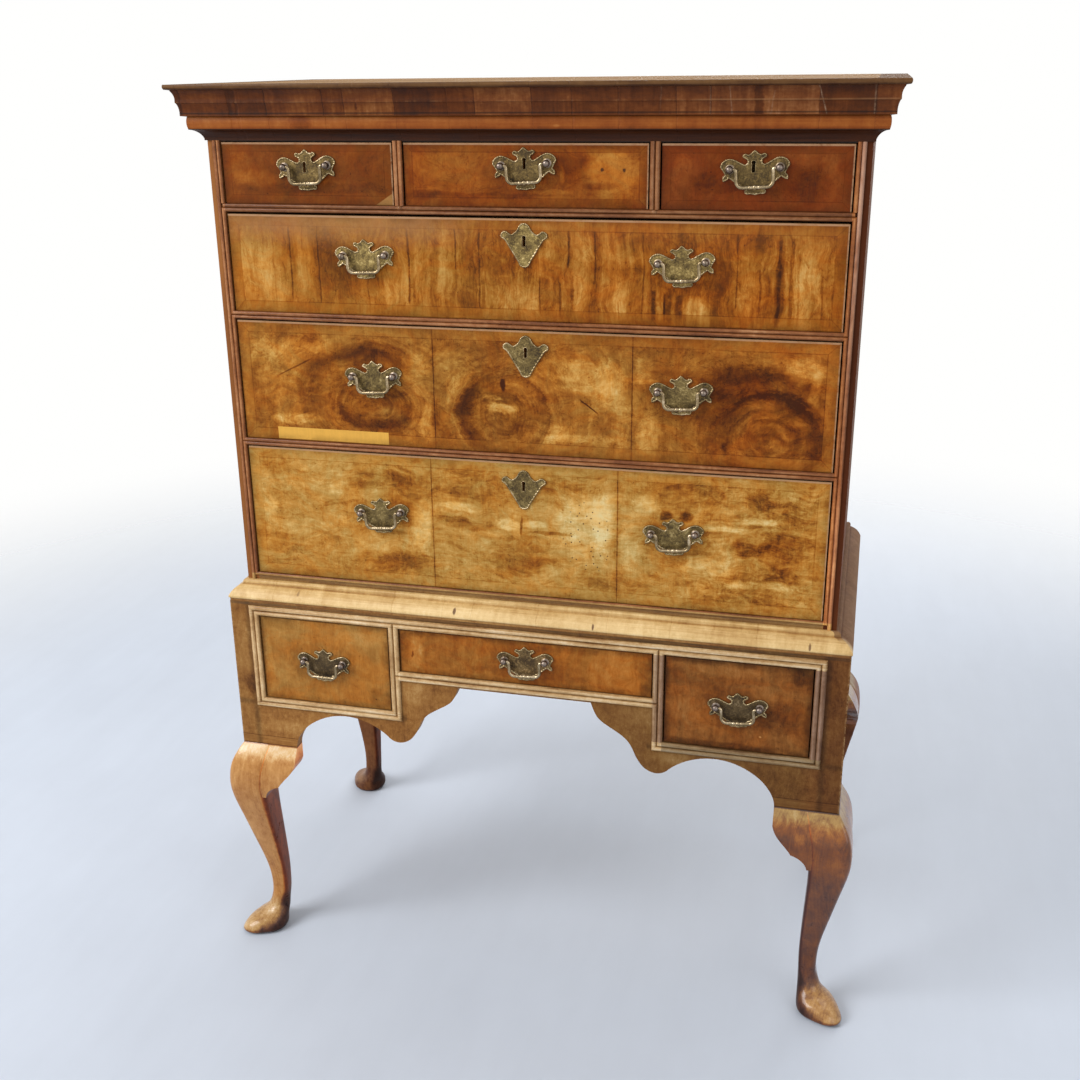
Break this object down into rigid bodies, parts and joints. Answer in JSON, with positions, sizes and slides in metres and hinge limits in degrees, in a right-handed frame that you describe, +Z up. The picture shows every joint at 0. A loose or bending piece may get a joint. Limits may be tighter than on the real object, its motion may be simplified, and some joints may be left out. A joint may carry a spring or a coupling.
{
  "type": "chest of drawers on stand",
  "caption": "Tall chest of drawers on a stand with cabriole legs, shaped apron, stepped cornice, beaded drawer openings and swinging brass bail pulls.",
  "frame": {"origin": "on the floor, under the middle of the bounding box", "axes": "+X to the viewer's right, +Y towards the back, +Z up; the drawers open towards -Y"},
  "size_m": [1.1166, 0.6136, 1.526],
  "materials": {
    "walnut_veneer": "waxed and polished walnut veneer",
    "walnut_solid": "polished solid walnut",
    "pine": "unfinished pine and oak",
    "brass": "aged cast brass",
    "iron": "filed iron"
  },
  "bodies": {
    "carcass": {"leg_front_left": "walnut_solid", "leg_front_right": "walnut_solid", "leg_rear_left": "walnut_solid", "leg_rear_right": "walnut_solid", "knee_brackets": "walnut_solid", "stand_front": "walnut_veneer", "stand_sides": "walnut_veneer", "stand_frame": "pine", "stand_beads": "walnut_veneer", "waist_moulding": "walnut_veneer", "case_sides": "walnut_veneer", "case_panels": "pine", "case_rails": "pine", "case_beads": "walnut_veneer", "cornice": "walnut_veneer"},
    "drawer_top_left": {"drawer_top_left_front": "walnut_veneer", "drawer_top_left_box": "pine", "drawer_top_left_brass": "brass"},
    "drawer_top_left_bail": {"drawer_top_left_bail": "brass"},
    "drawer_top_left_bolt": {"drawer_top_left_bolt": "iron"},
    "drawer_top_middle": {"drawer_top_middle_front": "walnut_veneer", "drawer_top_middle_box": "pine", "drawer_top_middle_brass": "brass"},
    "drawer_top_middle_bail": {"drawer_top_middle_bail": "brass"},
    "drawer_top_middle_bolt": {"drawer_top_middle_bolt": "iron"},
    "drawer_top_right": {"drawer_top_right_front": "walnut_veneer", "drawer_top_right_box": "pine", "drawer_top_right_brass": "brass"},
    "drawer_top_right_bail": {"drawer_top_right_bail": "brass"},
    "drawer_top_right_bolt": {"drawer_top_right_bolt": "iron"},
    "drawer_upper": {"drawer_upper_front": "walnut_veneer", "drawer_upper_box": "pine", "drawer_upper_brass": "brass"},
    "drawer_upper_bail_left": {"drawer_upper_bail_left": "brass"},
    "drawer_upper_bail_right": {"drawer_upper_bail_right": "brass"},
    "drawer_upper_bolt": {"drawer_upper_bolt": "iron"},
    "drawer_middle": {"drawer_middle_front": "walnut_veneer", "drawer_middle_box": "pine", "drawer_middle_brass": "brass"},
    "drawer_middle_bail_left": {"drawer_middle_bail_left": "brass"},
    "drawer_middle_bail_right": {"drawer_middle_bail_right": "brass"},
    "drawer_middle_bolt": {"drawer_middle_bolt": "iron"},
    "drawer_lower": {"drawer_lower_front": "walnut_veneer", "drawer_lower_box": "pine", "drawer_lower_brass": "brass"},
    "drawer_lower_bail_left": {"drawer_lower_bail_left": "brass"},
    "drawer_lower_bail_right": {"drawer_lower_bail_right": "brass"},
    "drawer_lower_bolt": {"drawer_lower_bolt": "iron"},
    "drawer_stand_left": {"drawer_stand_left_front": "walnut_veneer", "drawer_stand_left_box": "pine", "drawer_stand_left_brass": "brass"},
    "drawer_stand_left_bail": {"drawer_stand_left_bail": "brass"},
    "drawer_stand_middle": {"drawer_stand_middle_front": "walnut_veneer", "drawer_stand_middle_box": "pine", "drawer_stand_middle_brass": "brass"},
    "drawer_stand_middle_bail": {"drawer_stand_middle_bail": "brass"},
    "drawer_stand_right": {"drawer_stand_right_front": "walnut_veneer", "drawer_stand_right_box": "pine", "drawer_stand_right_brass": "brass"},
    "drawer_stand_right_bail": {"drawer_stand_right_bail": "brass"}
  },
  "joints": [
    {"name": "drawer_top_left_slide", "type": "slide", "parent": "carcass", "child": "drawer_top_left", "axis": [0, -1, 0], "range_m": [0, 0.36]},
    {"name": "drawer_top_left_bail_swing", "type": "hinge", "parent": "drawer_top_left", "child": "drawer_top_left_bail", "pos_m": [-0.3385, -0.2595, 1.4065], "axis": [-0.999, 0, -0.0436], "range_deg": [-8, 150]},
    {"name": "drawer_top_left_bolt_throw", "type": "slide", "parent": "drawer_top_left", "child": "drawer_top_left_bolt", "axis": [0, 0, 1], "range_m": [0, 0.007]},
    {"name": "drawer_top_middle_slide", "type": "slide", "parent": "carcass", "child": "drawer_top_middle", "axis": [0, -1, 0], "range_m": [0, 0.36]},
    {"name": "drawer_top_middle_bail_swing", "type": "hinge", "parent": "drawer_top_middle", "child": "drawer_top_middle_bail", "pos_m": [0.007, -0.2595, 1.411], "axis": [-0.9981, 0, -0.061], "range_deg": [-8, 150]},
    {"name": "drawer_top_middle_bolt_throw", "type": "slide", "parent": "drawer_top_middle", "child": "drawer_top_middle_bolt", "axis": [0, 0, 1], "range_m": [0, 0.007]},
    {"name": "drawer_top_right_slide", "type": "slide", "parent": "carcass", "child": "drawer_top_right", "axis": [0, -1, 0], "range_m": [0, 0.36]},
    {"name": "drawer_top_right_bail_swing", "type": "hinge", "parent": "drawer_top_right", "child": "drawer_top_right_bail", "pos_m": [0.342, -0.2595, 1.408], "axis": [-0.9986, 0, -0.0523], "range_deg": [-8, 150]},
    {"name": "drawer_top_right_bolt_throw", "type": "slide", "parent": "drawer_top_right", "child": "drawer_top_right_bolt", "axis": [0, 0, 1], "range_m": [0, 0.007]},
    {"name": "drawer_upper_slide", "type": "slide", "parent": "carcass", "child": "drawer_upper", "axis": [0, -1, 0], "range_m": [0, 0.36]},
    {"name": "drawer_upper_bail_left_swing", "type": "hinge", "parent": "drawer_upper", "child": "drawer_upper_bail_left", "pos_m": [-0.251, -0.2595, 1.274], "axis": [-0.9994, 0, -0.0349], "range_deg": [-8, 150]},
    {"name": "drawer_upper_bail_right_swing", "type": "hinge", "parent": "drawer_upper", "child": "drawer_upper_bail_right", "pos_m": [0.243, -0.2595, 1.2745], "axis": [-0.9986, 0, -0.0523], "range_deg": [-8, 150]},
    {"name": "drawer_upper_bolt_throw", "type": "slide", "parent": "drawer_upper", "child": "drawer_upper_bolt", "axis": [0, 0, 1], "range_m": [0, 0.007]},
    {"name": "drawer_middle_slide", "type": "slide", "parent": "carcass", "child": "drawer_middle", "axis": [0, -1, 0], "range_m": [0, 0.36]},
    {"name": "drawer_middle_bail_left_swing", "type": "hinge", "parent": "drawer_middle", "child": "drawer_middle_bail_left", "pos_m": [-0.247, -0.2595, 1.084], "axis": [-0.9986, 0, -0.0523], "range_deg": [-8, 150]},
    {"name": "drawer_middle_bail_right_swing", "type": "hinge", "parent": "drawer_middle", "child": "drawer_middle_bail_right", "pos_m": [0.247, -0.2595, 1.0825], "axis": [-0.999, 0, -0.0436], "range_deg": [-8, 150]},
    {"name": "drawer_middle_bolt_throw", "type": "slide", "parent": "drawer_middle", "child": "drawer_middle_bolt", "axis": [0, 0, 1], "range_m": [0, 0.007]},
    {"name": "drawer_lower_slide", "type": "slide", "parent": "carcass", "child": "drawer_lower", "axis": [0, -1, 0], "range_m": [0, 0.36]},
    {"name": "drawer_lower_bail_left_swing", "type": "hinge", "parent": "drawer_lower", "child": "drawer_lower_bail_left", "pos_m": [-0.246, -0.2595, 0.854], "axis": [-0.9976, 0, -0.0698], "range_deg": [-8, 150]},
    {"name": "drawer_lower_bail_right_swing", "type": "hinge", "parent": "drawer_lower", "child": "drawer_lower_bail_right", "pos_m": [0.241, -0.2595, 0.8545], "axis": [-0.9976, 0, -0.0698], "range_deg": [-8, 150]},
    {"name": "drawer_lower_bolt_throw", "type": "slide", "parent": "drawer_lower", "child": "drawer_lower_bolt", "axis": [0, 0, 1], "range_m": [0, 0.007]},
    {"name": "drawer_stand_left_slide", "type": "slide", "parent": "carcass", "child": "drawer_stand_left", "axis": [0, -1, 0], "range_m": [0, 0.35]},
    {"name": "drawer_stand_left_bail_swing", "type": "hinge", "parent": "drawer_stand_left", "child": "drawer_stand_left_bail", "pos_m": [-0.358, -0.2855, 0.57925], "axis": [-0.9998, 0, 0.0175], "range_deg": [-8, 150]},
    {"name": "drawer_stand_middle_slide", "type": "slide", "parent": "carcass", "child": "drawer_stand_middle", "axis": [0, -1, 0], "range_m": [0, 0.35]},
    {"name": "drawer_stand_middle_bail_swing", "type": "hinge", "parent": "drawer_stand_middle", "child": "drawer_stand_middle_bail", "pos_m": [0.004, -0.2855, 0.62125], "axis": [-0.9986, 0, -0.0523], "range_deg": [-8, 150]},
    {"name": "drawer_stand_right_slide", "type": "slide", "parent": "carcass", "child": "drawer_stand_right", "axis": [0, -1, 0], "range_m": [0, 0.35]},
    {"name": "drawer_stand_right_bail_swing", "type": "hinge", "parent": "drawer_stand_right", "child": "drawer_stand_right_bail", "pos_m": [0.3565, -0.2855, 0.57725], "axis": [-0.9981, 0, -0.061], "range_deg": [-8, 150]}
  ]
}
